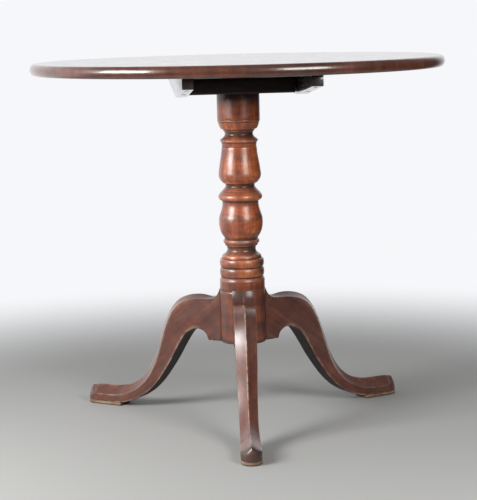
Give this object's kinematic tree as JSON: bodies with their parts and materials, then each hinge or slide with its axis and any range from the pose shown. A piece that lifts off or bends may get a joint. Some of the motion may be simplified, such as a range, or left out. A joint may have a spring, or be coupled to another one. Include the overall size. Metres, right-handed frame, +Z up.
{
  "type": "tilt top table",
  "caption": "Round tilt top table: a moulded-edge wooden top on bearers, hinged to a block on a turned pillar with cabriole tripod legs and a slide-bolt catch.",
  "frame": {"origin": "on the floor, on the pillar's axis, below the middle of the top", "axes": "+Z up; the hinge runs along X at the -Y side of the pillar, so the +Y side of the top rises and the -Y side drops; the front leg points close to -Y"},
  "size_m": [0.798, 0.798, 0.71],
  "materials": {
    "top_wood": "waxed and polished mahogany, glossy",
    "pillar_wood": "waxed and polished turned mahogany, glossy",
    "leg_wood": "waxed mahogany, semi-gloss",
    "bearer_wood": "waxed mahogany, semi-gloss",
    "block_wood": "dull dark mahogany",
    "dark_wood": "dull hardwood",
    "pad": "worn tan leather",
    "iron": "darkened wrought iron",
    "brass": "tarnished brass"
  },
  "bodies": {
    "stand": {"pillar": "pillar_wood", "leg_front": "leg_wood", "leg_left": "leg_wood", "leg_right": "leg_wood", "foot_pad_front": "pad", "foot_pad_left": "pad", "foot_pad_right": "pad", "hub_brace": "iron", "brace_screw_hub": "iron", "brace_screw_front": "iron", "brace_screw_left": "iron", "brace_screw_right": "iron", "tilt_block": "block_wood", "tenon_wedge": "dark_wood", "pivot_pin_left": "dark_wood", "pivot_pin_right": "dark_wood", "keeper_plate": "brass", "keeper_screw_left": "brass", "keeper_screw_right": "brass"},
    "top": {"table_top": "top_wood", "bearer_left": "bearer_wood", "bearer_right": "bearer_wood", "bearer_screw_left_1": "iron", "bearer_screw_left_2": "iron", "bearer_screw_left_3": "iron", "bearer_screw_left_4": "iron", "bearer_screw_right_1": "iron", "bearer_screw_right_2": "iron", "bearer_screw_right_3": "iron", "bearer_screw_right_4": "iron", "catch_case": "brass", "catch_screw_1": "brass", "catch_screw_2": "brass", "catch_screw_3": "brass", "catch_screw_4": "brass"},
    "bolt": {"catch_bolt": "brass", "catch_knob": "brass"}
  },
  "joints": [
    {"name": "top_tilt", "type": "hinge", "parent": "stand", "child": "top", "pos_m": [0, -0.068, 0.666], "axis": [1, 0, 0], "range_deg": [0, 90]},
    {"name": "catch_slide", "type": "slide", "parent": "top", "child": "bolt", "axis": [0, -1, 0], "range_m": [0, 0.012]}
  ]
}
